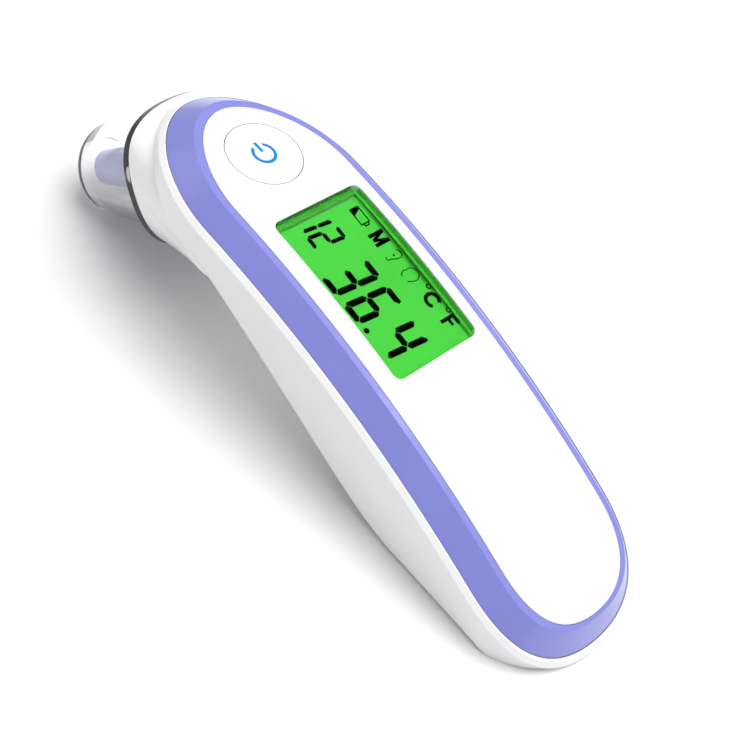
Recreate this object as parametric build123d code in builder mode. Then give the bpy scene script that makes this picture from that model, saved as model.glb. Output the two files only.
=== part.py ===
from build123d import *

import os
from math import cos, radians, sin, sqrt, tan

os.makedirs("parts", exist_ok=True)

# Digital ear thermometer, in millimetres.
# Working frame: +X runs from the head to the tail, +Y across the handle, +Z out of the display face.
# The origin is the highest point of the arched face. The finished pieces are turned into the attitude
# in which the thermometer lies on a table, on the flat of its back and the end of the probe cap.

# ---- driving dimensions -------------------------------------------------------------------------
ARCH_HEAD_R = 260.0
ARCH_TAIL_R = 283.0
REACH = 40.0
BELOW = -90.0
FAR_HEAD = -120.0
FAR_TAIL = 70.0

HEAD_CENTRE = -62.7
TAIL_CENTRE = 20.5
HEAD_POWER = 1.87
TAIL_POWER = 2.38
RIM_POWER = 2.5

PANEL_HALF = 15.05
PANEL_HEAD = -84.2
PANEL_TAIL = 38.1
PANEL_T = 1.9
SEAT = 0.8
RING_GROW = 5.4
RING_HEAD = -90.1
RING_TAIL = 42.9
RING_SLOPE = 4.0
RING_TOP = 0.3
RING_FOOT = 5.6
LIP_GROW = 6.74
LIP_HEAD = -91.2
LIP_TAIL = 44.6
LIP_TOP = 4.2
LIP_DEPTH = 5.3
LIP_CHAMFER = 0.85
LIP_STEP = 0.35
WALL_HALF = PANEL_HALF + LIP_GROW - LIP_STEP
WALL = 1.8
GAP = 0.08
RING_GAP = 0.15
FINE_GAP = 0.05

DRAFT = 10.0
REST_TILT = 21.73
FACET_X = 8.0
FACET_Z = -23.75
BACK_HEAD = (-66.0, -21.9)
BACK_LOW = (-22.0, -25.2)
BACK_EDGE_R = 2.4

BUTTON_X = -71.4
BUTTON_R = 8.0
BUTTON_GAP = 0.2
SYMBOL_R = 2.7
SYMBOL_STROKE = 0.75
SYMBOL_DEPTH = 0.5
SWITCH_X = -33.4
BOARD_HOLES = ((-26.5, 10.8), (-26.5, -10.8), (25.2, 10.8), (25.2, -10.8))
POST_R = 1.6
POST_SCREW_R = 0.8

WINDOW_X = -38.1
WINDOW_Y = 0.7
WINDOW_L = 38.9
WINDOW_W = 23.5
WINDOW_CORNER = 1.8
WINDOW_SINK = 0.35
WINDOW_T = 1.1

BOARD_DEPTH = 6.6
GLASS_TOP = 2.78
GLASS_BOTTOM = 4.6
GUIDE_TOP = 4.65
BOARD_T = 0.8

NECK_SLOPE = 17.6
NECK_TOP = 4.0
NECK_LEVEL_Z = -22.8
NECK_LEVEL_HEAD = -91.8
NECK_LEVEL_TAIL = -48.5

PROBE_X = -67.1
PROBE_TILT = 30.0
RIM_S = 26.0
RIM_HALF_X = 15.2
RIM_HALF_Y = 16.6
CAP_END_S = 56.4
CAP_END_R = 9.7
CAP_SLOPE = 9.4
CAP_ROUND = 3.0
CAP_WALL = 3.3
CAP_FLANGE_T = 1.8
CAP_BORE_END_S = 55.0
NOSE_BASE_S = RIM_S + 4.0
NOSE_TIP_S = 54.4
NOSE_WALL = 1.1
NOSE_TIP_R = 3.9
NOSE_SLOPE = 4.8
COLLAR_R = 10.2

CELL_R = 5.25
CELL_L = 44.5
CELL_Z = -16.0
CELL_START = -37.5
CELL_PITCH = 11.2
SPRING_L = 3.0

DOOR_HEAD = -38.0
DOOR_HALF = 13.4
DOOR_TOP = -13.0
DOOR_GAP = 0.15
SCREWS = ((-50.0, 16.0, -22.9), (14.0, 15.7, -20.8))
SCREW_R = 1.0
SCREW_HEAD_R = 1.7
BOSS_R = 2.1
PIN_X = 12.9
PIN_R = 0.9
BUZZER_X = 26.0


# ---- geometry helpers ---------------------------------------------------------------------------
def arch_radius(x):
    return ARCH_HEAD_R if x < 0 else ARCH_TAIL_R


def arch_z(x, depth=0.0):
    """Height of the arched face, or of the surface a given depth below it, at x."""
    radius = arch_radius(x)
    return -radius + sqrt((radius - depth) ** 2 - x**2)


def face_plane(x, depth=0.0):
    """Plane on the face at x (or below it by depth): local X to the tail, local Z outward."""
    radius = arch_radius(x)
    normal = Vector(x / radius, 0, sqrt(1 - (x / radius) ** 2))
    point = Vector(0, 0, -radius) + normal * (radius - depth)
    return Plane(origin=point, x_dir=(normal.Z, 0, -normal.X), z_dir=normal)


def below_face(depth):
    """Everything under the arched surface that lies depth below the face."""
    with BuildPart() as region:
        with BuildSketch(Plane.XZ):
            with BuildLine():
                start = (FAR_HEAD, arch_z(FAR_HEAD, depth))
                end = (FAR_TAIL, arch_z(FAR_TAIL, depth))
                head_arc = ThreePointArc(start, (FAR_HEAD / 2, arch_z(FAR_HEAD / 2, depth)), (0, -depth))
                tail_arc = ThreePointArc(head_arc @ 1, (FAR_TAIL / 2, arch_z(FAR_TAIL / 2, depth)), end)
                Polyline(tail_arc @ 1, (FAR_TAIL, BELOW), (FAR_HEAD, BELOW), head_arc @ 0)
            make_face()
        extrude(amount=REACH, both=True)
    return region.part


def round_corner(half_width, centre, end, power):
    """Control points of a curve from a straight side at centre round to the outline's end."""
    reach = (8 * 0.5 ** (1 / power) - 4) / 3
    return [
        (centre, half_width),
        (centre + reach * (end - centre), half_width),
        (end, reach * half_width),
        (end, 0),
    ]


def oval(half_width, head_end, head_centre, tail_centre, tail_end, head_power, tail_power):
    """Closed outline with straight sides and two round ends, fuller for a higher power."""
    head = round_corner(half_width, head_centre, head_end, head_power)
    tail = round_corner(half_width, tail_centre, tail_end, tail_power)
    with BuildSketch() as sketch:
        with BuildLine():
            Line(head[0], tail[0])
            Bezier(*tail)
            Bezier(*[(x, -y) for x, y in reversed(tail)])
            Line((tail_centre, -half_width), (head_centre, -half_width))
            Bezier(*[(x, -y) for x, y in head])
            Bezier(*reversed(head))
        make_face()
    return sketch.sketch


def handle_outline(half_width, head_end, tail_end):
    return oval(half_width, head_end, HEAD_CENTRE, TAIL_CENTRE, tail_end, HEAD_POWER, TAIL_POWER)


def arched_slab(half_width, head_end, tail_end, top, bottom=None):
    """A plate with the handle's outline, from one depth below the face to another or far down."""
    with BuildPart() as slab:
        with BuildSketch(Plane.XY.offset(BELOW)):
            add(handle_outline(half_width, head_end, tail_end))
        extrude(amount=-2 * BELOW)
        add(below_face(top), mode=Mode.INTERSECT)
        if bottom is not None:
            add(below_face(bottom), mode=Mode.SUBTRACT)
    return slab.part


def wall_half_width(x, z, inset):
    """Half width of the drafted side wall at x and z, with its skin moved inward by inset."""
    return WALL_HALF - inset - (arch_z(x, LIP_DEPTH) - z) * tan(radians(DRAFT))


def handle_body(inset):
    """The handle's solid under the lip: drafted sides, curved back and a flat resting facet."""
    with BuildPart() as walls:
        for x in (HEAD_CENTRE, -40.0, -16.0, 8.0, 28.0, 48.0):
            top = arch_z(x) + 1.0
            with BuildSketch(Plane(origin=(x, 0, 0), x_dir=(0, 1, 0), z_dir=(1, 0, 0))):
                wide = wall_half_width(x, top, inset)
                narrow = wall_half_width(x, -34.0, inset)
                Polygon((-wide, top), (-narrow, -34.0), (narrow, -34.0), (wide, top), align=None)
        loft()
    facet = Vector(cos(radians(REST_TILT)), sin(radians(REST_TILT)))
    normal = Vector(-facet.Y, facet.X)
    facet_start = Vector(FACET_X, FACET_Z) + normal * inset
    facet_end = facet_start + facet * 60
    with BuildPart() as body:
        with BuildSketch(Plane.XZ):
            with BuildLine():
                back = Spline(
                    (BACK_HEAD[0], BACK_HEAD[1] + inset),
                    (BACK_LOW[0], BACK_LOW[1] + inset),
                    (facet_start.X, facet_start.Y),
                    tangents=((1, -0.06), (facet.X, facet.Y)),
                )
                rest = Line(back @ 1, (facet_end.X, facet_end.Y))
                Polyline(rest @ 1, (facet_end.X, 20), (BACK_HEAD[0], 20), back @ 0)
            make_face()
        extrude(amount=REACH, both=True)
        add(walls.part, mode=Mode.INTERSECT)
        if inset == 0:
            low_edges = body.edges().filter_by(lambda edge: edge.center().Z < arch_z(edge.center().X) - 11)
            long_edges = low_edges.filter_by(lambda edge: edge.bounding_box().size.X > 15)
            fillet(long_edges, radius=BACK_EDGE_R)
    return body.part


probe_direction = Vector(-sin(radians(PROBE_TILT)), 0, -cos(radians(PROBE_TILT)))


def probe_plane(distance):
    """Plane square to the probe's axis: local Z along the probe, local X towards the tail."""
    origin = face_plane(PROBE_X).origin + probe_direction * distance
    sideways = (cos(radians(PROBE_TILT)), 0, -sin(radians(PROBE_TILT)))
    return Plane(origin=origin, x_dir=sideways, z_dir=probe_direction)


def neck_body(inset, end):
    """The head's solid: from inside the lip, through a level section, to the rim square to the probe."""
    slope = radians(NECK_SLOPE)
    lip_plane = Plane(
        origin=(HEAD_CENTRE, 0, arch_z(HEAD_CENTRE, NECK_TOP)),
        x_dir=(cos(slope), 0, sin(slope)),
        z_dir=(-sin(slope), 0, cos(slope)),
    )
    level_plane = Plane.XY.offset(NECK_LEVEL_Z)
    level_half = WALL_HALF - 2.0 - inset
    head_reach = (LIP_HEAD + LIP_STEP - HEAD_CENTRE) / cos(slope) + inset
    rim_reach = RIM_HALF_X - inset
    with BuildPart() as neck:
        with BuildSketch(lip_plane):
            add(oval(WALL_HALF - inset, head_reach, 0, 10, 22 - inset, HEAD_POWER, HEAD_POWER))
        with BuildSketch(level_plane):
            add(oval(level_half, NECK_LEVEL_HEAD + inset, -66, -60, NECK_LEVEL_TAIL - inset, HEAD_POWER, HEAD_POWER))
        loft(ruled=True)
        with BuildSketch(level_plane):
            add(oval(level_half, NECK_LEVEL_HEAD + inset, -66, -60, NECK_LEVEL_TAIL - inset, HEAD_POWER, HEAD_POWER))
        with BuildSketch(probe_plane(end)):
            add(oval(RIM_HALF_Y - inset, -rim_reach, -0.5, 0.5, rim_reach, RIM_POWER, RIM_POWER))
        loft(ruled=True)
        add(below_face(LIP_TOP + LIP_CHAMFER), mode=Mode.INTERSECT)
    return neck.part


def cylinder_on(plane, radius, start, end):
    """A round solid on a plane's axis, between two distances along it."""
    with BuildPart() as rod:
        with BuildSketch(plane.offset(start)):
            Circle(radius)
        extrude(amount=end - start)
    return rod.part


def cone_on(plane, start_radius, end_radius, start, end):
    """A tapered round solid on a plane's axis, between two distances along it."""
    with BuildPart() as cone:
        with BuildSketch(plane.offset(start)):
            Circle(start_radius)
        with BuildSketch(plane.offset(end)):
            Circle(end_radius)
        loft(ruled=True)
    return cone.part


def plate_on(plane, length, width, start, end, corner=0.0, x=0.0, y=0.0):
    """A rectangular solid on a plane, between two distances along its axis."""
    with BuildPart() as plate:
        with BuildSketch(plane.offset(start)):
            with Locations((x, y)):
                if corner:
                    RectangleRounded(length, width, corner)
                else:
                    Rectangle(length, width)
        extrude(amount=end - start)
    return plate.part


def surface_edges(part, depth):
    """The edges of a slab that lie in its upper surface, without the seam where the two arcs meet."""

    def on_rim(edge):
        middle = edge.position_at(0.5)
        on_surface = abs(middle.Z - arch_z(middle.X, depth)) < 0.02
        return on_surface and abs(middle.X) > 0.5

    return part.edges().filter_by(on_rim)


def at_screws(build):
    """The solids that build(x, y, back_z) makes at each of the four screw places."""
    return [build(x, side * y, back_z) for x, y, back_z in SCREWS for side in (-1, 1)]


def upright(x, y, radius, low, high):
    return cylinder_on(Plane(origin=(x, y, 0)), radius, low, high)


# ---- shared surfaces and planes -----------------------------------------------------------------
button_plane = face_plane(BUTTON_X)
window_plane = face_plane(WINDOW_X)
probe = probe_plane(0)
pin_plane = Plane(origin=probe.from_local_coords((PIN_X, 0, 0)), x_dir=probe.x_dir, z_dir=probe.z_dir)
under_face = below_face(0)
button_shaft = cylinder_on(button_plane, BUTTON_R + BUTTON_GAP, -6, 4)
window_hole = plate_on(window_plane, WINDOW_L, WINDOW_W, -6, 4, WINDOW_CORNER, 0, WINDOW_Y)
board_plane = window_plane.offset(-BOARD_DEPTH)


def on_board(x, y, radius, start, end):
    """A round solid that stands on the board at x and y in the board's own plane."""
    place = Plane(origin=board_plane.from_local_coords((x, y, 0)), x_dir=board_plane.x_dir, z_dir=board_plane.z_dir)
    return cylinder_on(place, radius, start, end)


outer_handle = handle_body(0)
inner_handle = handle_body(WALL)
outer_neck = neck_body(0, RIM_S)
inner_neck = neck_body(WALL, RIM_S - 2.0)
outline_prism = arched_slab(WALL_HALF, LIP_HEAD + LIP_STEP, LIP_TAIL - LIP_STEP, LIP_TOP + LIP_CHAMFER)
ring_pocket = arched_slab(
    PANEL_HALF + RING_GROW + RING_GAP, RING_HEAD - RING_GAP, RING_TAIL + RING_GAP, -2, RING_FOOT + GAP
)
cavity_prism = arched_slab(PANEL_HALF + 3.95, RING_HEAD + 1.7, RING_TAIL - 1.7, 3.0)
mouth = arched_slab(PANEL_HALF + 3.7, RING_HEAD + 2.0, RING_TAIL - 2.0, -2, LIP_DEPTH + 1.2)

# ---- front: panel, ring, button, display window --------------------------------------------------
with BuildPart() as front_panel:
    add(arched_slab(PANEL_HALF, PANEL_HEAD, PANEL_TAIL, 0, PANEL_T))
    fillet(surface_edges(front_panel.part, 0), radius=0.3)
    add(window_hole, mode=Mode.SUBTRACT)
    add(button_shaft, mode=Mode.SUBTRACT)
    add([on_board(x, y, POST_R, 0.03, 4.2) for x, y in BOARD_HOLES])
    add([on_board(x, y, POST_SCREW_R + 0.02, 0, 3.4) for x, y in BOARD_HOLES], mode=Mode.SUBTRACT)

with BuildPart() as accent_ring:
    add(arched_slab(PANEL_HALF + RING_GROW, RING_HEAD, RING_TAIL, RING_TOP, RING_FOOT))
    chamfer(surface_edges(accent_ring.part, RING_TOP), length=RING_SLOPE)
    seat = arched_slab(PANEL_HALF + GAP, PANEL_HEAD - GAP, PANEL_TAIL + GAP, -2, PANEL_T + GAP)
    opening = arched_slab(PANEL_HALF - SEAT, PANEL_HEAD + SEAT, PANEL_TAIL - SEAT, -2, 12)
    screw_holes = at_screws(lambda x, y, back_z: upright(x, y, SCREW_R + 0.02, back_z, arch_z(x, 3.9)))
    add([seat, opening, *screw_holes], mode=Mode.SUBTRACT)



def power_sign():
    """The power symbol as a solid: a ring that opens towards the head, and a bar in the opening."""
    with BuildPart() as sign:
        with BuildSketch(button_plane.offset(-SYMBOL_DEPTH)):
            Circle(SYMBOL_R)
            Circle(SYMBOL_R - SYMBOL_STROKE, mode=Mode.SUBTRACT)
            with Locations((-SYMBOL_R, 0)):
                Rectangle(2 * SYMBOL_R, 2.3, mode=Mode.SUBTRACT)
            with Locations((-SYMBOL_R + 0.9, 0)):
                SlotOverall(2.8, SYMBOL_STROKE)
        extrude(amount=2)
    return sign.part


flange_plane = button_plane.offset(-PANEL_T - 0.2)
with BuildPart() as power_button:
    add(cylinder_on(button_plane, BUTTON_R, -PANEL_T - 0.5, 4))
    add(under_face, mode=Mode.INTERSECT)
    add(cylinder_on(flange_plane, BUTTON_R + 0.6, -0.5, 0))
    add(cylinder_on(flange_plane, BUTTON_R - 1.2, -0.8, 0.85), mode=Mode.SUBTRACT)
    add(cylinder_on(flange_plane, 1.6, 0.02, 0.9))
    add(power_sign(), mode=Mode.SUBTRACT)

with BuildPart() as power_symbol:
    add(power_sign())
    add(below_face(0.02), mode=Mode.INTERSECT)

with BuildPart() as lcd_window:
    add(plate_on(window_plane, WINDOW_L - 0.1, WINDOW_W - 0.1, -4, 4, WINDOW_CORNER, 0, WINDOW_Y))
    add(below_face(WINDOW_SINK), mode=Mode.INTERSECT)
    add(below_face(WINDOW_SINK + WINDOW_T), mode=Mode.SUBTRACT)

with BuildPart() as lcd_frame:
    add(plate_on(window_plane, 46, 27.0, -BOARD_DEPTH + FINE_GAP, -1, 1.0, 0, WINDOW_Y / 2))
    add(below_face(PANEL_T + GAP), mode=Mode.INTERSECT)
    add(plate_on(window_plane, 40.2, 24.2, -BOARD_DEPTH, 0, 0.6, 0, WINDOW_Y), mode=Mode.SUBTRACT)

with BuildPart() as lcd_glass:
    add(plate_on(window_plane, 40.0, 24.0, -GLASS_BOTTOM, -GLASS_TOP, 0.4, 0, WINDOW_Y))

with BuildPart() as backlight_guide:
    add(plate_on(window_plane, 40.0, 19.6, -BOARD_DEPTH + FINE_GAP, -GUIDE_TOP, 0.4, 0, WINDOW_Y))

with BuildPart() as contact_strips:
    for side in (-1, 1):
        add(plate_on(window_plane, 36.0, 1.6, -BOARD_DEPTH + FINE_GAP, -GUIDE_TOP, 0, 0, WINDOW_Y + side * 10.9))

# ---- board and what is on it ---------------------------------------------------------------------
with BuildPart() as main_board:
    with BuildSketch(board_plane.offset(-BOARD_T)):
        with Locations((-2.0, 0)):
            RectangleRounded(58, 26.0, 2)
        with Locations((-31.0, 0)):
            RectangleRounded(20, 19, 4)
        with Locations(*BOARD_HOLES):
            Circle(POST_SCREW_R + 0.2, mode=Mode.SUBTRACT)
    extrude(amount=BOARD_T)

board_back = board_plane.offset(-BOARD_T - 0.02)
board_front = board_plane.offset(0.02)
switch_plane = Plane(
    origin=board_front.from_local_coords((SWITCH_X, 0, 0)), x_dir=board_front.x_dir, z_dir=board_front.z_dir
)

with BuildPart() as button_switch:
    add(plate_on(board_front, 6.2, 6.2, 0, 1.6, 0.5, SWITCH_X, 0))
    add(cylinder_on(switch_plane, 1.7, 0.5, 2), mode=Mode.SUBTRACT)

with BuildPart() as switch_plunger:
    add(cylinder_on(switch_plane, 1.5, 1.1, 2.15))

with BuildPart() as controller_chip:
    add(plate_on(board_back, 9.0, 9.0, -1.0, 0, 0.3, -24, 0))

with BuildPart() as memory_chip:
    add(plate_on(board_back, 4.9, 3.9, -0.9, 0, 0.2, -33, 4.5))

with BuildPart() as timing_crystal:
    add(plate_on(board_back, 3.2, 7.0, -1.1, 0, 0.8, -33, -3.5))

with BuildPart() as board_capacitors:
    for x, y in ((-17, 8.5), (-17, 5.5), (-17, -5.5), (-17, -8.5), (-31, 8.0), (-38.5, 5.5)):
        add(plate_on(board_back, 1.6, 0.8, -0.8, 0, 0, x, y))

with BuildPart() as board_screws:
    add([on_board(x, y, 1.5, -BOARD_T - 0.92, -BOARD_T - 0.02) for x, y in BOARD_HOLES])
    add([on_board(x, y, POST_SCREW_R, -BOARD_T - 0.1, 3.3) for x, y in BOARD_HOLES])

with BuildPart() as buzzer:
    add(cylinder_on(face_plane(BUZZER_X), 7.0, -5.6, -3.2))

# ---- rear shell and battery door -----------------------------------------------------------------
door_space = plate_on(Plane.XY, 120, 2 * DOOR_HALF, -40, DOOR_TOP, 0, DOOR_HEAD + 60)
door_hole = plate_on(
    Plane.XY, 120 + 2 * DOOR_GAP, 2 * (DOOR_HALF + DOOR_GAP), -40, DOOR_TOP + DOOR_GAP, 0, DOOR_HEAD + 60
)

with BuildPart() as lip:
    add(arched_slab(PANEL_HALF + LIP_GROW, LIP_HEAD, LIP_TAIL, LIP_TOP, LIP_DEPTH + 0.15))
    chamfer(surface_edges(lip.part, LIP_TOP), length=LIP_CHAMFER)

with BuildPart() as handle_cavity:
    add(inner_handle)
    add(cavity_prism, mode=Mode.INTERSECT)

with BuildPart() as neck_shell:
    add(outer_neck)
    add(inner_neck, mode=Mode.SUBTRACT)
    add(handle_cavity.part, mode=Mode.SUBTRACT)

with BuildPart() as rear_shell:
    add(outer_handle)
    add(outline_prism, mode=Mode.INTERSECT)
    add(handle_cavity.part, mode=Mode.SUBTRACT)
    add(inner_neck, mode=Mode.SUBTRACT)
    add(neck_shell.part)
    add(lip.part)
    add(mouth, mode=Mode.SUBTRACT)
    add(at_screws(lambda x, y, back_z: upright(x, y, BOSS_R + 0.9, back_z + 1.2, back_z + 3.4)))
    add(at_screws(lambda x, y, back_z: upright(x, y, BOSS_R, back_z + 3.0, arch_z(x, RING_FOOT + 0.6))))
    add(ring_pocket, mode=Mode.SUBTRACT)
    shanks = at_screws(lambda x, y, back_z: upright(x, y, SCREW_R + 0.15, back_z, 0))
    recesses = at_screws(lambda x, y, back_z: upright(x, y, SCREW_HEAD_R + 0.15, back_z - 3, back_z + 2))
    add([*shanks, *recesses], mode=Mode.SUBTRACT)
    add(door_hole, mode=Mode.SUBTRACT)
    add(cylinder_on(probe, COLLAR_R - 3.0, RIM_S - 4, RIM_S + 1), mode=Mode.SUBTRACT)
    add(cylinder_on(pin_plane, PIN_R + 0.06, RIM_S - 6, RIM_S + 1), mode=Mode.SUBTRACT)

with BuildPart() as battery_door:
    add(outer_handle)
    add(inner_handle, mode=Mode.SUBTRACT)
    add(door_space, mode=Mode.INTERSECT)
    add(plate_on(Plane.XY, 1.6, 6, -23.5, -20.9, 0, DOOR_HEAD + 1.0))
    add(plate_on(Plane.XY, 5.0, 6, -21.8, -20.9, 0, DOOR_HEAD - 0.7))
    for x in (-6.0, -3.5, -1.0, 1.5):
        add(plate_on(Plane.XY, 1.0, 16, -26, -24.45, 0, x), mode=Mode.SUBTRACT)



def screw_slot(x, y, back_z, length, width):
    return plate_on(Plane(origin=(x, y, 0)), length, width, back_z, back_z + 1.1)


with BuildPart() as housing_screws:
    add(at_screws(lambda x, y, back_z: upright(x, y, SCREW_HEAD_R, back_z + 0.6, back_z + 1.98)))
    add(at_screws(lambda x, y, back_z: upright(x, y, SCREW_R, back_z + 1.9, arch_z(x, 4.0))))
    add(at_screws(lambda x, y, back_z: screw_slot(x, y, back_z, 2.4, 0.5)), mode=Mode.SUBTRACT)
    add(at_screws(lambda x, y, back_z: screw_slot(x, y, back_z, 0.5, 2.4)), mode=Mode.SUBTRACT)

# ---- battery -------------------------------------------------------------------------------------
cell_end = CELL_START + CELL_L
tray_x = CELL_START + CELL_L / 2
with BuildPart() as battery_tray:
    add(plate_on(Plane.XY, CELL_L + 9.0, 25.2, -19.6, -12.0, 1.0, tray_x))
    add(plate_on(Plane.XY, CELL_L + 7.0, 23.2, -20, -11, 0.5, tray_x), mode=Mode.SUBTRACT)
    add(plate_on(Plane.XY, CELL_L + 8.0, 0.5, -17.5, -14.5, 0, tray_x))


def cell(side):
    """One AAA cell, its button end towards the head on one side and the tail on the other."""
    axis = Plane(origin=(tray_x, side * CELL_PITCH / 2, CELL_Z), x_dir=(0, 1, 0), z_dir=(side, 0, 0))
    with BuildPart() as body:
        add(cylinder_on(axis, CELL_R, -CELL_L / 2, CELL_L / 2 - 1.2))
        add(cylinder_on(axis, 1.9, CELL_L / 2 - 1.3, CELL_L / 2))
    return body.part


with BuildPart() as battery_cell_far:
    add(cell(1))

with BuildPart() as battery_cell_near:
    add(cell(-1))


def contact_plane(side, distance, facing, lift=0.0):
    """Plane across a cell's axis, at a signed distance from the tray's middle, facing along X."""
    origin = (tray_x + distance, side * CELL_PITCH / 2, CELL_Z + lift)
    return Plane(origin=origin, x_dir=(0, 1, 0), z_dir=(facing, 0, 0))


def contact_spring(side):
    """A tapered spring of four turns that presses on the flat end of a cell."""
    base = contact_plane(side, -side * (CELL_L / 2 + SPRING_L), side)
    with BuildPart() as spring:
        for turn in range(4):
            with Locations(base.offset(0.35 + 0.75 * turn)):
                Torus(3.9 - 0.5 * turn, 0.27)
    return spring.part


with BuildPart() as battery_springs:
    add(contact_spring(1))
    add(contact_spring(-1))

with BuildPart() as battery_contacts:
    for side in (1, -1):
        plus = contact_plane(side, side * (CELL_L / 2 + 0.1), side, 0.9)
        minus = contact_plane(side, -side * (CELL_L / 2 + SPRING_L + 0.05), -side, 0.9)
        add(plate_on(plus, 9.0, 5.4, 0, 0.35, 0.5))
        add(plate_on(minus, 9.0, 5.4, 0, 0.35, 0.5))

# ---- probe and sensor ----------------------------------------------------------------------------
def nose_radius(distance):
    return NOSE_TIP_R + (NOSE_TIP_S - distance) * tan(radians(NOSE_SLOPE))


def cap_radius(distance):
    return CAP_END_R + (CAP_END_S - distance) * tan(radians(CAP_SLOPE))


with BuildPart() as probe_flange:
    add(cylinder_on(probe, COLLAR_R, RIM_S + FINE_GAP, NOSE_BASE_S))
    add(cylinder_on(probe, COLLAR_R - 3.06, RIM_S - 3, RIM_S + 0.1))
    add(cylinder_on(probe, 5.0, RIM_S - 4, NOSE_BASE_S + 1), mode=Mode.SUBTRACT)
    flange_rim = probe_flange.edges().filter_by(GeomType.CIRCLE).sort_by(lambda edge: edge.center().Z)[:1]
    chamfer(flange_rim, length=0.6)

with BuildPart() as probe_nose:
    add(cone_on(probe, nose_radius(NOSE_BASE_S), NOSE_TIP_R, NOSE_BASE_S + FINE_GAP, NOSE_TIP_S))
    fillet(probe_nose.edges().filter_by(GeomType.CIRCLE).sort_by(Axis.Z)[:1], radius=0.8)
    bore_base_r = nose_radius(NOSE_BASE_S) - NOSE_WALL
    add(cone_on(probe, bore_base_r, NOSE_TIP_R - NOSE_WALL, NOSE_BASE_S - 1, NOSE_TIP_S + 0.5), mode=Mode.SUBTRACT)

with BuildPart() as sensor_sleeve:
    add(cylinder_on(probe, 3.6, 33.0, 42.0))
    add(cylinder_on(probe, 2.75, 32.0, 43.0), mode=Mode.SUBTRACT)

with BuildPart() as sensor_can:
    add(cylinder_on(probe, 2.7, 35.0, 38.0))

with BuildPart() as sensor_window:
    add(cylinder_on(probe, 1.9, 38.02, 38.5))

with BuildPart() as wave_guide:
    add(cylinder_on(probe, 2.7, 38.6, 53.6))
    add(cylinder_on(probe, 2.1, 38.5, 53.7), mode=Mode.SUBTRACT)

with BuildPart() as sensor_lead:
    with BuildSketch(Plane.XZ):
        with BuildLine():
            ends = [probe_plane(distance).origin for distance in (34.9, 13.0)]
            plug = board_back.from_local_coords((-36.0, 0, -1.9))
            Polyline((ends[0].X, ends[0].Z), (ends[1].X, ends[1].Z), (plug.X, plug.Z))
        trace(line_width=0.3)
    extrude(amount=2.0, both=True)

with BuildPart() as lead_connector:
    add(plate_on(board_back, 3.0, 7.0, -1.6, 0, 0.3, -37.5, 0))

with BuildPart() as probe_cap:
    flange_top = RIM_S + 0.1 + CAP_FLANGE_T
    with BuildSketch(probe.offset(RIM_S + 0.1)):
        add(oval(RIM_HALF_Y, -RIM_HALF_X, -0.5, 0.5, RIM_HALF_X, RIM_POWER, RIM_POWER))
    extrude(amount=CAP_FLANGE_T)
    add(cone_on(probe, cap_radius(flange_top - 1), CAP_END_R, flange_top - 1, CAP_END_S))
    tip_edges = probe_cap.edges().filter_by(GeomType.CIRCLE).sort_by(lambda edge: edge.center().Z)[:1]
    fillet(tip_edges, radius=CAP_ROUND)
    bore_end_r = cap_radius(CAP_BORE_END_S) - CAP_WALL
    add(cone_on(probe, cap_radius(RIM_S) - CAP_WALL, bore_end_r, RIM_S, CAP_BORE_END_S), mode=Mode.SUBTRACT)

with BuildPart() as cap_plunger:
    add(cylinder_on(pin_plane, PIN_R, RIM_S - 6.5, RIM_S + 0.05))
    add(cylinder_on(pin_plane, PIN_R + 0.5, RIM_S - 6.5, RIM_S - 5.9))

with BuildPart() as cap_switch:
    add(plate_on(probe, 4.0, 6.0, RIM_S - 10.4, RIM_S - 6.6, 0.4, PIN_X - 0.6, 0))

# ---- the table attitude and the files ------------------------------------------------------------
pieces = {
    "front_panel": front_panel,
    "accent_ring": accent_ring,
    "power_button": power_button,
    "power_symbol": power_symbol,
    "lcd_window": lcd_window,
    "lcd_frame": lcd_frame,
    "lcd_glass": lcd_glass,
    "backlight_guide": backlight_guide,
    "contact_strips": contact_strips,
    "main_board": main_board,
    "button_switch": button_switch,
    "switch_plunger": switch_plunger,
    "controller_chip": controller_chip,
    "memory_chip": memory_chip,
    "timing_crystal": timing_crystal,
    "board_capacitors": board_capacitors,
    "board_screws": board_screws,
    "buzzer": buzzer,
    "rear_shell": rear_shell,
    "battery_door": battery_door,
    "housing_screws": housing_screws,
    "battery_tray": battery_tray,
    "battery_cell_far": battery_cell_far,
    "battery_cell_near": battery_cell_near,
    "battery_springs": battery_springs,
    "battery_contacts": battery_contacts,
    "probe_flange": probe_flange,
    "probe_nose": probe_nose,
    "sensor_sleeve": sensor_sleeve,
    "sensor_can": sensor_can,
    "sensor_window": sensor_window,
    "wave_guide": wave_guide,
    "sensor_lead": sensor_lead,
    "lead_connector": lead_connector,
    "probe_cap": probe_cap,
    "cap_plunger": cap_plunger,
    "cap_switch": cap_switch,
}
tilt = Location((0, 0, 0), (0, REST_TILT, 0))
tilted = Compound(children=[builder.part.moved(tilt) for builder in pieces.values()]).bounding_box()
rest = Location((-tilted.center().X, 0, -tilted.min.Z)) * tilt
print("row frame = turn about +Y by", REST_TILT, "degrees, then move by", rest.position)
for name, builder in pieces.items():
    builder.part = builder.part.moved(rest)
    builder.part.label = name
    export_step(builder.part, f"parts/{name}.step")
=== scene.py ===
from math import cos, pi, radians, sin, sqrt

import bmesh
import bpy
from mathutils import Matrix, Vector


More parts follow.
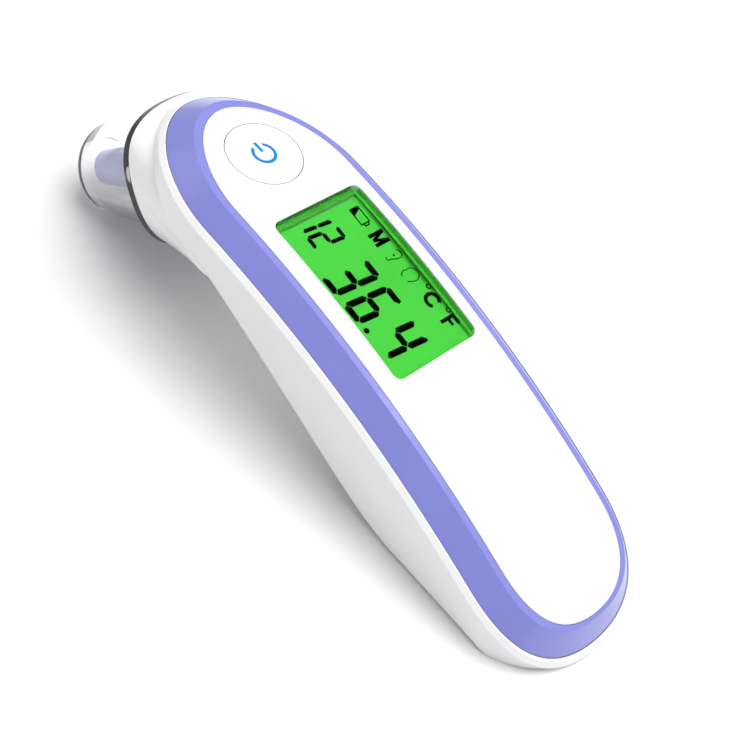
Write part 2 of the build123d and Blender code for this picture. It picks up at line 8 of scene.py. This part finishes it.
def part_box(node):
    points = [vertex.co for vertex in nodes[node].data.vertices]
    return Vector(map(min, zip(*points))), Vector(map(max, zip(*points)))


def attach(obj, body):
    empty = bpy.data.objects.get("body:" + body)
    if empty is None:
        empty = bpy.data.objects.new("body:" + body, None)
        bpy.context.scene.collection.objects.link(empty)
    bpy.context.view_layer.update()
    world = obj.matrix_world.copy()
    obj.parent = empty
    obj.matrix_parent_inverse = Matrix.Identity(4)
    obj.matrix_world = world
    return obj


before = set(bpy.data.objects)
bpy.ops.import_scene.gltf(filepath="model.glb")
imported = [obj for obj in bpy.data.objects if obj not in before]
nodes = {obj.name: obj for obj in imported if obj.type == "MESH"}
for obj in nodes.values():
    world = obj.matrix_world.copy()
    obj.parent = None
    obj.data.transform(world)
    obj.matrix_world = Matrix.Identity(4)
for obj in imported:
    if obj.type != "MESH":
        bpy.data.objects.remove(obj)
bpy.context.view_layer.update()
MM = 0.001

# ---- the handle's own frame: +X to the tail, +Y across, +Z out of the face, origin on the arch ----
REST_TILT = radians(21.73)
ARCH_HEAD_R = 260.0
ARCH_TAIL_R = 283.0
WINDOW_X = -38.1
WINDOW_Y = 0.7
GLASS_TOP = -2.78
GLASS_T = 1.82


def face_frame(x):
    """Matrix of the plane that touches the face at x, in the handle's frame, in millimetres."""
    radius = ARCH_HEAD_R if x < 0 else ARCH_TAIL_R
    lean = x / radius
    normal = Vector((lean, 0, sqrt(1 - lean**2)))
    along = Vector((normal.z, 0, -normal.x))
    point = Vector((0, 0, -radius)) + normal * radius
    return Matrix.Translation(point) @ Matrix((along, (0, 1, 0), normal)).transposed().to_4x4()


tilt = Matrix.Rotation(REST_TILT, 4, "Y")
window = face_frame(WINDOW_X)
glass_middle = window @ Vector((0, WINDOW_Y, GLASS_TOP - GLASS_T / 2))
glass_low, glass_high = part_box("lcd_glass")
place = (glass_low + glass_high) / 2 - (tilt @ glass_middle) * MM
HANDLE = Matrix.Translation(place) @ tilt @ Matrix.Scale(MM, 4)

# ---- camera, placed and turned in the handle's frame ----------------------------------------------
CAMERA_AT = Vector((-8.6, -194.0, 230.8))
CAMERA_RIGHT = Vector((0.5512, 0.6750, 0.4905))
CAMERA_LOOK = Vector((-0.0463, 0.6117, -0.7897))
CAMERA_LENS = 76.09
CAMERA_SENSOR = 36.0
CAMERA_NEAR = 0.01
CAMERA_FAR = 20.0


def add_camera():
    data = bpy.data.cameras.new("camera")
    data.lens = CAMERA_LENS
    data.sensor_width = CAMERA_SENSOR
    data.clip_start = CAMERA_NEAR
    data.clip_end = CAMERA_FAR
    camera = bpy.data.objects.new("camera", data)
    bpy.context.scene.collection.objects.link(camera)
    back = -(tilt @ CAMERA_LOOK).normalized()
    right = (tilt @ CAMERA_RIGHT).normalized()
    up = back.cross(right).normalized()
    turn = Matrix((right, up, back)).transposed().to_4x4()
    camera.matrix_world = Matrix.Translation(HANDLE @ CAMERA_AT) @ turn
    bpy.context.scene.camera = camera


# ---- materials -----------------------------------------------------------------------------------
CLOUD_SCALE = 45.0
CLOUD_DETAIL = 3.0
GRAIN_SCALE = 900.0
GRAIN_DETAIL = 2.0
NOISE_LOW = 0.3
NOISE_HIGH = 0.7
ROUGHNESS_SPREAD = 0.1
BUMP_STRENGTH = 0.04
BUMP_DEPTH = 0.03 * MM


def material(name, colour, variation, roughness, grain_scale=GRAIN_SCALE, bump=BUMP_STRENGTH, **sockets):
    """A moulded surface: its colour drifts a little through the solid and its skin has a fine grain."""
    made = bpy.data.materials.new(name)
    made.use_nodes = True
    tree = made.node_tree
    shader = tree.nodes["Principled BSDF"]
    for socket, value in sockets.items():
        shader.inputs[socket.replace("_", " ")].default_value = value
    coordinates = tree.nodes.new("ShaderNodeTexCoord")
    cloud = tree.nodes.new("ShaderNodeTexNoise")
    cloud.inputs["Scale"].default_value = CLOUD_SCALE
    cloud.inputs["Detail"].default_value = CLOUD_DETAIL
    grain = tree.nodes.new("ShaderNodeTexNoise")
    grain.inputs["Scale"].default_value = grain_scale
    grain.inputs["Detail"].default_value = GRAIN_DETAIL
    ramp = tree.nodes.new("ShaderNodeValToRGB")
    dark, light = ramp.color_ramp.elements
    dark.position = NOISE_LOW
    light.position = NOISE_HIGH
    dark.color = (*[c * (1 - variation) for c in colour], 1)
    light.color = (*[min(c * (1 + variation), 1) for c in colour], 1)
    rough = tree.nodes.new("ShaderNodeMapRange")
    rough.inputs["From Min"].default_value = NOISE_LOW
    rough.inputs["From Max"].default_value = NOISE_HIGH
    rough.inputs["To Min"].default_value = roughness * (1 - ROUGHNESS_SPREAD)
    rough.inputs["To Max"].default_value = roughness * (1 + ROUGHNESS_SPREAD)
    relief = tree.nodes.new("ShaderNodeBump")
    relief.inputs["Strength"].default_value = bump
    relief.inputs["Distance"].default_value = BUMP_DEPTH
    link = tree.links.new
    link(coordinates.outputs["Object"], cloud.inputs["Vector"])
    link(coordinates.outputs["Object"], grain.inputs["Vector"])
    link(cloud.outputs["Fac"], ramp.inputs["Fac"])
    link(ramp.outputs["Color"], shader.inputs["Base Color"])
    link(cloud.outputs["Fac"], rough.inputs["Value"])
    link(rough.outputs["Result"], shader.inputs["Roughness"])
    link(grain.outputs["Fac"], relief.inputs["Height"])
    link(relief.outputs["Normal"], shader.inputs["Normal"])
    return made


def give(made, *names):
    for name in names:
        slots = nodes[name].data.materials
        if not slots:
            slots.append(made)
        for index in range(len(slots)):
            slots[index] = made


white = material(
    "white_gloss",
    (0.88, 0.88, 0.89),
    0.01,
    roughness=0.22,
    Coat_Weight=0.4,
    Coat_Roughness=0.08,
)
periwinkle = material(
    "periwinkle",
    (0.225, 0.240, 0.66),
    0.03,
    roughness=0.28,
    Coat_Weight=0.5,
    Coat_Roughness=0.1,
)
inner_white = material("inner_white", (0.72, 0.72, 0.73), 0.03, roughness=0.5)
symbol_blue = material("symbol_blue", (0.003, 0.22, 0.58), 0.03, roughness=0.3)
clear = material(
    "clear_plastic",
    (0.99, 0.99, 1.0),
    0.004,
    roughness=0.01,
    bump=0.0,
    Transmission_Weight=1.0,
    IOR=1.46,
)
window_clear = material(
    "window_plastic",
    (0.96, 1.0, 0.96),
    0.01,
    roughness=0.02,
    bump=0.0,
    Transmission_Weight=1.0,
    IOR=1.02,
    Specular_IOR_Level=0.1,
)
rubber = material("rubber_grey", (0.06, 0.06, 0.065), 0.1, roughness=0.7)
board = material("board_green", (0.02, 0.14, 0.05), 0.15, roughness=0.4)
chip = material("chip_black", (0.02, 0.02, 0.022), 0.1, roughness=0.5)
steel = material("steel", (0.62, 0.62, 0.63), 0.05, roughness=0.32, Metallic=1.0)
gold = material("brass_gold", (0.75, 0.55, 0.22), 0.05, roughness=0.25, Metallic=1.0)
amber = material("lead_amber", (0.55, 0.24, 0.03), 0.1, roughness=0.4)
cell_wrap = material("cell_wrap", (0.03, 0.09, 0.26), 0.08, roughness=0.3, Metallic=0.3)
ceramic = material("ceramic", (0.5, 0.38, 0.24), 0.1, roughness=0.6)
infrared = material("infrared_window", (0.03, 0.025, 0.03), 0.1, roughness=0.15)
diffuser = material("diffuser_green", (0.16, 0.72, 0.14), 0.03, roughness=0.5)
digit_black = material("digit_black", (0.001, 0.002, 0.001), 0.1, roughness=0.8, Specular_IOR_Level=0.02)
# Greyish green for thin lines along the display's head and far edges: painted shade.
painted_edge_shade = material("painted_edge_shade", (0.16, 0.34, 0.15), 0.1, roughness=0.6, Specular_IOR_Level=0.1)
# A darker copy of the liner green, without its glow, for the head side: painted shade.
painted_shade_liner_green = material("painted_shade_liner_green", (0.05, 0.34, 0.035), 0.06, roughness=0.6, Specular_IOR_Level=0.1)
liner_green = material(
    "liner_green",
    (0.06, 0.45, 0.04),
    0.06,
    roughness=0.6,
    Specular_IOR_Level=0.1,
    Emission_Color=(0.06, 0.5, 0.04, 1),
    Emission_Strength=0.15,
)
lcd_green = material(
    "lcd_green",
    (0.05, 0.42, 0.04),
    0.04,
    roughness=0.5,
    Specular_IOR_Level=0.1,
    Emission_Color=(0.055, 0.52, 0.04, 1),
    Emission_Strength=0.28,
)
frame_green = material("frame_green", (0.10, 0.34, 0.09), 0.05, roughness=0.5)

give(white, "front_panel", "power_button", "rear_shell", "battery_door")
give(periwinkle, "accent_ring", "probe_nose")
give(symbol_blue, "power_symbol")
give(window_clear, "lcd_window")
give(clear, "probe_cap")
give(frame_green, "lcd_frame")
give(lcd_green, "lcd_glass")
give(diffuser, "backlight_guide")
give(rubber, "contact_strips")
give(board, "main_board")
give(chip, "button_switch", "controller_chip", "memory_chip", "cap_switch")
give(steel, "timing_crystal", "housing_screws", "board_screws", "sensor_can")
give(steel, "battery_springs", "battery_contacts")
give(ceramic, "board_capacitors")
give(gold, "buzzer", "sensor_sleeve", "wave_guide")
give(cell_wrap, "battery_cell_far", "battery_cell_near")
give(inner_white, "battery_tray", "probe_flange", "lead_connector", "cap_plunger", "switch_plunger")
give(infrared, "sensor_window")
give(amber, "sensor_lead")

# ---- what the display shows ----------------------------------------------------------------------
INK_T = 0.03
INK_LIFT = 0.01
ICON_ROW = 8.0
DIGIT_SHIFT = 1.95
DIGIT_STRETCH = 1.05
STROKE_OVERLAP = 0.12
SLANT = 0.09

BIG_FIGURES = (("3", -3.35), ("6", 3.6), ("4", 12.3))
BIG_MIDDLE = -4.35
BIG_HALF_HEIGHT = 5.05
BIG_HALF_WIDTH = 1.9
BIG_THICK = 1.4
POINT_AT = (7.4, -9.4)
POINT_R = 0.62

SMALL_FIGURES = (("1", -16.9), ("2", -12.75))
SMALL_MIDDLE = -2.95
SMALL_HALF_HEIGHT = 3.5
SMALL_HALF_WIDTH = 1.25
SMALL_THICK = 0.9

SEGMENTS = {
    "1": "bc",
    "2": "abged",
    "3": "abgcd",
    "4": "fgbc",
    "6": "afgecd",
}

# The marks are stretched across the handle about the row of icons and moved by DIGIT_SHIFT.
ink_frame = (
    HANDLE
    @ window
    @ Matrix.Translation((0, WINDOW_Y + DIGIT_SHIFT + ICON_ROW, GLASS_TOP + INK_LIFT))
    @ Matrix.Diagonal((1, DIGIT_STRETCH, 1, 1))
    @ Matrix.Translation((0, -ICON_ROW, 0))
)


def ink_piece(name, outlines, ink=digit_black):
    """Flat marks on the display: each outline is a closed list of points in the display's plane."""
    mesh = bpy.data.meshes.new(name)
    shape = bmesh.new()
    for outline in outlines:
        low = [shape.verts.new((x, y, 0)) for x, y in outline]
        high = [shape.verts.new((x, y, INK_T)) for x, y in outline]
        shape.faces.new(high)
        shape.faces.new(reversed(low))
        for i in range(len(outline)):
            j = (i + 1) % len(outline)
            shape.faces.new((low[i], low[j], high[j], high[i]))
    bmesh.ops.recalc_face_normals(shape, faces=shape.faces)
    shape.to_mesh(mesh)
    shape.free()
    mesh.transform(ink_frame)
    mesh.materials.append(ink)
    piece = bpy.data.objects.new(name, mesh)
    bpy.context.scene.collection.objects.link(piece)
    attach(piece, "housing")


def stroke(points, width, closed=False):
    """Outlines of a line of the given width through the points, one four-sided piece per run."""
    ends = points[1:] + points[:1] if closed else points[1:]
    outlines = []
    for (x0, y0), (x1, y1) in zip(points, ends):
        length = sqrt((x1 - x0) ** 2 + (y1 - y0) ** 2)
        ux = (x1 - x0) / length
        uy = (y1 - y0) / length
        ox = -uy * width / 2
        oy = ux * width / 2
        ex = ux * width * STROKE_OVERLAP
        ey = uy * width * STROKE_OVERLAP
        outlines.append(
            [
                (x0 + ox - ex, y0 + oy - ey),
                (x0 - ox - ex, y0 - oy - ey),
                (x1 - ox + ex, y1 - oy + ey),
                (x1 + ox + ex, y1 + oy + ey),
            ]
        )
    return outlines


def arc(cx, cy, rx, ry, start, end, steps):
    """Points on an ellipse from one angle in degrees to another."""
    turns = [radians(start + (end - start) * i / steps) for i in range(steps + 1)]
    return [(cx + rx * cos(turn), cy + ry * sin(turn)) for turn in turns]


def disc(cx, cy, radius, steps=20):
    """Outline of a filled round spot."""
    turns = [2 * pi * i / steps for i in range(steps)]
    return [(cx + radius * cos(turn), cy + radius * sin(turn)) for turn in turns]


def digit(figure, centre, middle, half_width, half_height, thick):
    """Outlines of a seven-segment figure, slanted to the right."""
    gap = 0.07 * thick
    h = thick / 2
    tip = 0.135 * thick

    def bar(y):
        """A level segment; at the figure's top and foot its outer side is the longer one."""
        inner = half_width - h
        reach = half_width - gap
        if y == 0:
            return [
                (-reach, 0),
                (-inner + gap, h),
                (inner - gap, h),
                (reach, 0),
                (inner - gap, -h),
                (-inner + gap, -h),
            ]
        side = 1 if y > 0 else -1
        return [
            (-reach - tip, y),
            (-reach + gap, y + side * h),
            (reach - gap, y + side * h),
            (reach + tip, y),
            (inner - gap, y - side * h),
            (-inner + gap, y - side * h),
        ]

    def post(x, side):
        """An upright segment: side is 1 for the upper half of the figure and -1 for the lower."""
        end = half_height - gap
        out = 1 if x > 0 else -1
        return [
            (x, side * gap),
            (x - out * h, side * (gap + h)),
            (x - out * h, side * (end - h)),
            (x + out * h * 0.4, side * (end + h * 0.2)),
            (x + out * h, side * (end - h * 0.6)),
            (x + out * h, side * (gap + h * 0.8)),
        ]

    shapes = {
        "a": bar(half_height),
        "g": bar(0),
        "d": bar(-half_height),
        "f": post(-half_width, 1),
        "b": post(half_width, 1),
        "e": post(-half_width, -1),
        "c": post(half_width, -1),
    }
    outlines = []
    for key in SEGMENTS[figure]:
        outlines.append([(centre + x + SLANT * y, middle + y) for x, y in shapes[key]])
    return outlines


def battery_mark():
    """A cell with its terminal, filled at one end."""
    left = -15.6
    right = -11.7
    low = 5.75
    high = 7.95
    terminal = right + 0.55
    line = 0.28
    outlines = stroke([(left, low), (right, low), (right, high), (left, high)], line, True)
    outlines.append([(left, low), (left + 1.6, low), (left + 0.6, high), (left, high)])
    nub = [(right, high - 0.5), (terminal, high - 0.5), (terminal, low + 0.6), (right, low + 0.6)]
    outlines += stroke(nub, line)
    return outlines


def memory_letter():
    """The letter M: two posts with a narrow V between them."""
    left = -8.8
    right = -6.5
    low = 5.3
    high = 8.9
    post_line = 0.85
    valley = [(left + 0.05, high - 0.05), ((left + right) / 2, low + 0.3), (right - 0.05, high - 0.05)]
    outlines = stroke([(left, low), (left, high)], post_line)
    outlines += stroke(valley, 0.7)
    outlines += stroke([(right, low), (right, high)], post_line)
    return outlines


def ear_mark():
    """The rim and lobe of an ear, with a spot in it."""
    rim = arc(-2.95, 8.1, 0.95, 0.95, 155, -20, 12) + [(-2.25, 7.0), (-2.6, 6.2), (-2.7, 5.6)]
    lobe = arc(-3.1, 5.6, 0.42, 0.42, 0, -160, 8)
    return stroke(rim + lobe, 0.22) + [disc(-3.1, 7.2, 0.24, 12)]


def head_mark():
    """A head seen from the side, from the chin over the crown to the neck."""
    face = [(1.5, 5.65), (1.0, 5.65), (0.75, 6.3), (0.5, 6.7), (0.75, 7.1)]
    crown = arc(2.15, 7.6, 1.5, 1.65, 175, -35, 16)
    neck = [(3.2, 6.3), (3.0, 5.7)]
    return stroke(face + crown + neck, 0.2)


def degree_sign(x, y):
    return stroke(arc(x, y, 0.5, 0.5, 0, 360, 18), 0.26)


def celsius_letter():
    return stroke(arc(8.7, 7.6, 1.45, 1.45, 42, 318, 22), 0.8)


def fahrenheit_letter():
    outlines = stroke([(13.45, 5.85), (13.45, 9.45)], 0.8)
    outlines += stroke([(13.1, 9.1), (15.4, 9.1)], 0.7)
    outlines += stroke([(13.1, 7.65), (15.1, 7.65)], 0.65)
    return outlines


reading = []
for figure, centre in BIG_FIGURES:
    reading += digit(figure, centre, BIG_MIDDLE, BIG_HALF_WIDTH, BIG_HALF_HEIGHT, BIG_THICK)
reading.append(disc(*POINT_AT, POINT_R))
ink_piece("display_reading", reading)

memory = []
for figure, centre in SMALL_FIGURES:
    memory += digit(figure, centre, SMALL_MIDDLE, SMALL_HALF_WIDTH, SMALL_HALF_HEIGHT, SMALL_THICK)
ink_piece("display_memory_number", memory)

ink_piece("display_icons", battery_mark() + memory_letter() + ear_mark() + head_mark())

units = degree_sign(5.95, 9.05) + celsius_letter() + degree_sign(12.1, 9.15) + fahrenheit_letter()
ink_piece("display_units", units)

# Thin darker lines along the display's head and far edges: painted shade where the opening's edge shades
# the display.
head_side_shade = [(-17.9, -9.0), (-17.75, -9.0), (-17.5, 9.35), (-17.9, 9.35)]
far_side_shade = [(-17.9, 9.4), (17.9, 9.4), (17.9, 9.55), (-17.9, 9.8)]
ink_piece("display_edge_painted_shade", [head_side_shade, far_side_shade], painted_edge_shade)


# ---- lining of the window's opening --------------------------------------------------------------
LINER_HALF_U = 19.36
LINER_HALF_V = 11.66
LINER_HIGH = -0.4
LINER_LOW = -1.5
LINER_BAND_FAR = 0.75
# The head band is wider because it carries the painted shade along the display's head edge.
LINER_BAND_HEAD = 1.45
LINER_BAND_TAIL = 0.4
LINER_STEPS = 24
LINER_T = 0.02


def spread(half):
    """Evenly spaced places from -half to half."""
    return [half * (2 * i / LINER_STEPS - 1) for i in range(LINER_STEPS + 1)]


def window_liner(name, made, path, inward):
    """A thin lining: it stands at the opening's edge along the path and turns inward under the window."""
    mesh = bpy.data.meshes.new(name)
    shape = bmesh.new()
    du, dv = inward
    rows = []
    for u, v in path:
        fall = -(u**2) / (2 * ARCH_HEAD_R)
        rows.append(
            [
                shape.verts.new((u, v, fall + LINER_HIGH)),
                shape.verts.new((u, v, fall + LINER_LOW)),
                shape.verts.new((u + du, v + dv, fall + LINER_LOW)),
            ]
        )
    for first, second in zip(rows, rows[1:]):
        for k in range(2):
            shape.faces.new((first[k], second[k], second[k + 1], first[k + 1]))
    bmesh.ops.recalc_face_normals(shape, faces=shape.faces)
    shape.to_mesh(mesh)
    shape.free()
    mesh.transform(HANDLE @ window @ Matrix.Translation((0, WINDOW_Y, 0)))
    mesh.materials.append(made)
    piece = bpy.data.objects.new(name, mesh)
    bpy.context.scene.collection.objects.link(piece)
    thick = piece.modifiers.new("thickness", "SOLIDIFY")
    thick.thickness = LINER_T * MM
    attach(piece, "housing")


far_path = [(u, LINER_HALF_V) for u in spread(LINER_HALF_U)]
head_path = [(-LINER_HALF_U, v) for v in spread(LINER_HALF_V)]
tail_path = [(LINER_HALF_U, v) for v in spread(LINER_HALF_V)]
window_liner("window_liner_far", liner_green, far_path, (0, -LINER_BAND_FAR))
# The head side's lining is darker and turns further in: painted shade along the window's head edge.
window_liner("window_liner_head_shaded", painted_shade_liner_green, head_path, (LINER_BAND_HEAD, 0))
window_liner("window_liner_tail", liner_green, tail_path, (-LINER_BAND_TAIL, 0))

# ---- floor and light, in metres ------------------------------------------------------------------
FLOOR_HALF = 3.0
FLOOR_GRAIN = 300.0
WORLD_STRENGTH = 0.36
OVERHEAD_AT = (0.15, 0.1, 0.9)
OVERHEAD_SIZE = (0.8, 0.8)
OVERHEAD_POWER = 9.6
LEFT_AT = (-0.7, -0.3, 0.6)
LEFT_TARGET = (0, 0, 0.02)
LEFT_SIZE = (0.5, 0.7)
LEFT_POWER = 0.6


def add_floor():
    mesh = bpy.data.meshes.new("floor")
    shape = bmesh.new()
    corners = ((-1, -1), (1, -1), (1, 1), (-1, 1))
    shape.faces.new([shape.verts.new((x * FLOOR_HALF, y * FLOOR_HALF, 0)) for x, y in corners])
    shape.to_mesh(mesh)
    shape.free()
    floor = bpy.data.objects.new("floor", mesh)
    mesh.materials.append(material("floor_paper", (0.92, 0.92, 0.92), 0.01, 0.8, FLOOR_GRAIN))
    bpy.context.scene.collection.objects.link(floor)


def area_light(name, position, target, size, power):
    data = bpy.data.lights.new(name, "AREA")
    data.shape = "RECTANGLE"
    data.size, data.size_y = size
    data.energy = power
    light = bpy.data.objects.new(name, data)
    bpy.context.scene.collection.objects.link(light)
    aim = Vector(target) - Vector(position)
    light.rotation_mode = "QUATERNION"
    light.rotation_quaternion = aim.to_track_quat("-Z", "Y")
    light.location = position


def add_world():
    world = bpy.data.worlds.new("studio")
    world.use_nodes = True
    background = world.node_tree.nodes["Background"]
    background.inputs["Color"].default_value = (1, 1, 1, 1)
    background.inputs["Strength"].default_value = WORLD_STRENGTH
    bpy.context.scene.world = world


add_camera()
add_floor()
add_world()
area_light("overhead", OVERHEAD_AT, (0, 0, 0), OVERHEAD_SIZE, OVERHEAD_POWER)
area_light("left", LEFT_AT, LEFT_TARGET, LEFT_SIZE, LEFT_POWER)
bpy.context.scene.view_settings.view_transform = "Standard"

# ---- the end -------------------------------------------------------------------------------------
bpy.context.view_layer.update()
